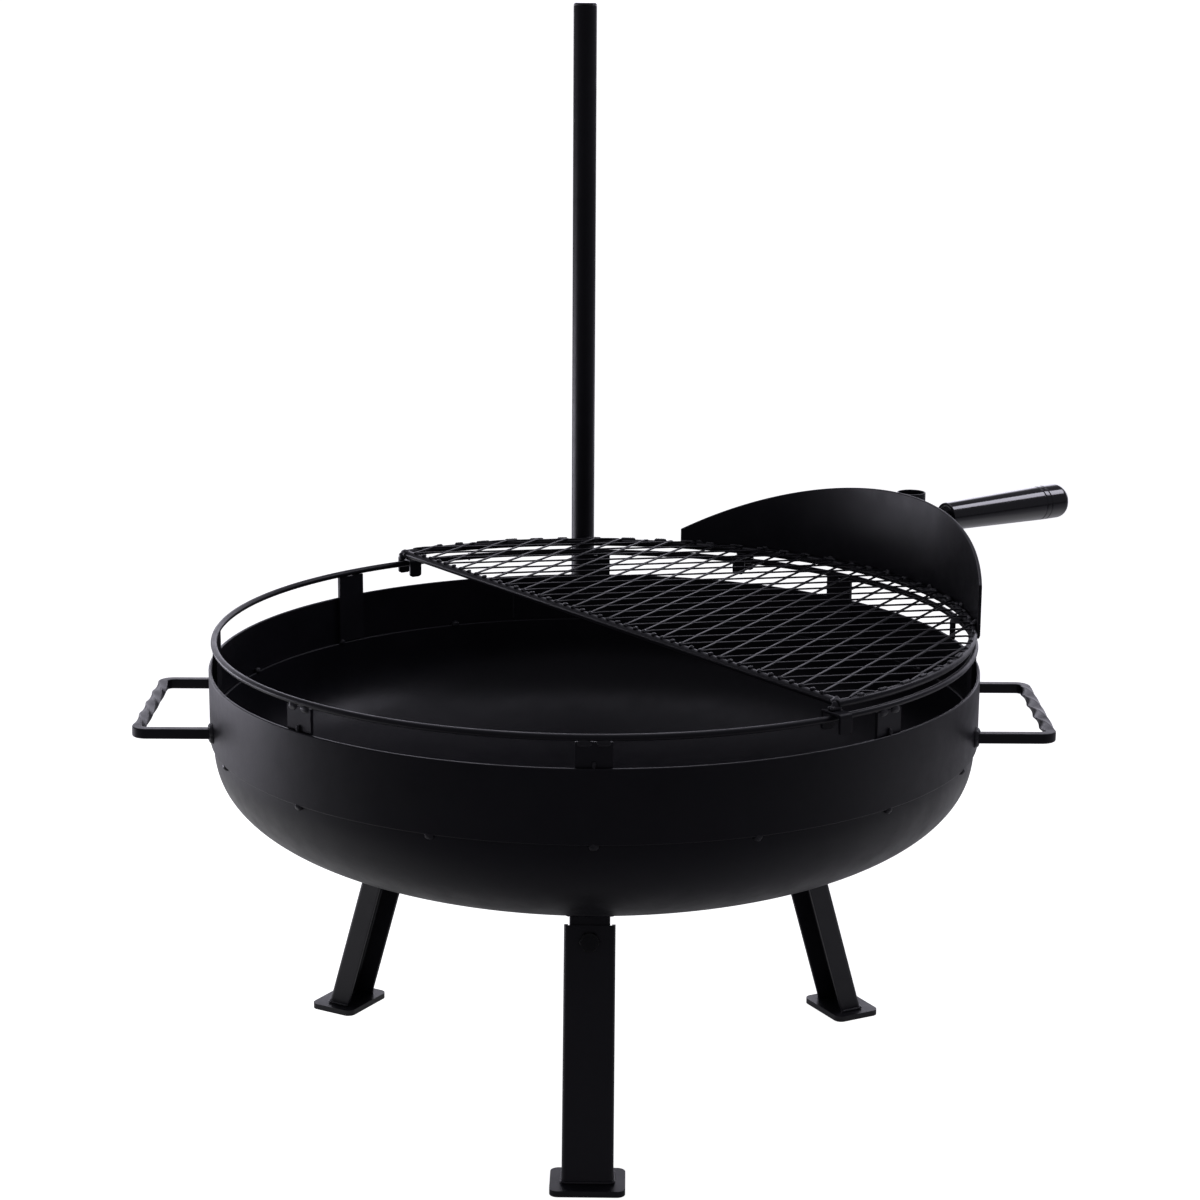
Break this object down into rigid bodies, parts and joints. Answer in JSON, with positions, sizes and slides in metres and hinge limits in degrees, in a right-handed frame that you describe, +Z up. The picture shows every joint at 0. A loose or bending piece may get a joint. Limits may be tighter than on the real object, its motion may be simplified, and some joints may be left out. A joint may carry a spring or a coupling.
{
  "type": "fire pit grill",
  "caption": "Round steel fire bowl on splayed bolted legs, with side handles, a rail ring, a half-moon mesh grate with heat shield and grip that turns on the ring, and a tall post.",
  "frame": {"origin": "middle of the bounding box's base, on the ground", "axes": "+Z up along the post, -Y towards the front leg, +X towards the right-hand side handle"},
  "size_m": [0.9751, 0.8012, 1.0552],
  "materials": {
    "black_paint": "satin black high-heat powder coat",
    "bolt_steel": "black-finished bolt steel",
    "grip_plastic": "glossy black moulding"
  },
  "bodies": {
    "firepit": {"bowl_pan": "black_paint", "side_band": "black_paint", "rail_ring": "black_paint", "rail_tab_1": "black_paint", "rail_tab_2": "black_paint", "rail_tab_3": "black_paint", "rail_tab_4": "black_paint", "rail_tab_5": "black_paint", "rail_tab_6": "black_paint", "rail_tab_7": "black_paint", "rail_tab_8": "black_paint", "side_handle_left": "black_paint", "side_handle_right": "black_paint", "leg_stub_front": "black_paint", "leg_front": "black_paint", "foot_plate_front": "black_paint", "leg_bolt_front": "bolt_steel", "leg_nut_front": "bolt_steel", "leg_stub_left": "black_paint", "leg_left": "black_paint", "foot_plate_left": "black_paint", "leg_bolt_left": "bolt_steel", "leg_nut_left": "bolt_steel", "leg_stub_right": "black_paint", "leg_right": "black_paint", "foot_plate_right": "black_paint", "leg_bolt_right": "bolt_steel", "leg_nut_right": "bolt_steel", "socket_plate": "black_paint", "post_socket": "black_paint"},
    "grate": {"arc_rod": "black_paint", "chord_rod": "black_paint", "grate_mesh": "black_paint", "rail_hook_1": "black_paint", "rail_hook_2": "black_paint", "rail_hook_3": "black_paint", "rail_hook_4": "black_paint", "heat_shield": "black_paint", "collar_bracket": "black_paint", "post_collar": "black_paint", "grip_stem": "black_paint", "grip": "grip_plastic"},
    "post": {"post_tube": "black_paint", "post_cap": "grip_plastic"}
  },
  "joints": [
    {"name": "grate_turn", "type": "hinge", "parent": "firepit", "child": "grate", "pos_m": [-0.0369, -0.0196, 0.4515], "axis": [0, 0, 1], "range_deg": [-298, 52]},
    {"name": "post_lift", "type": "slide", "parent": "firepit", "child": "post", "axis": [0, 0, 1], "range_m": [0, 0.2]}
  ]
}
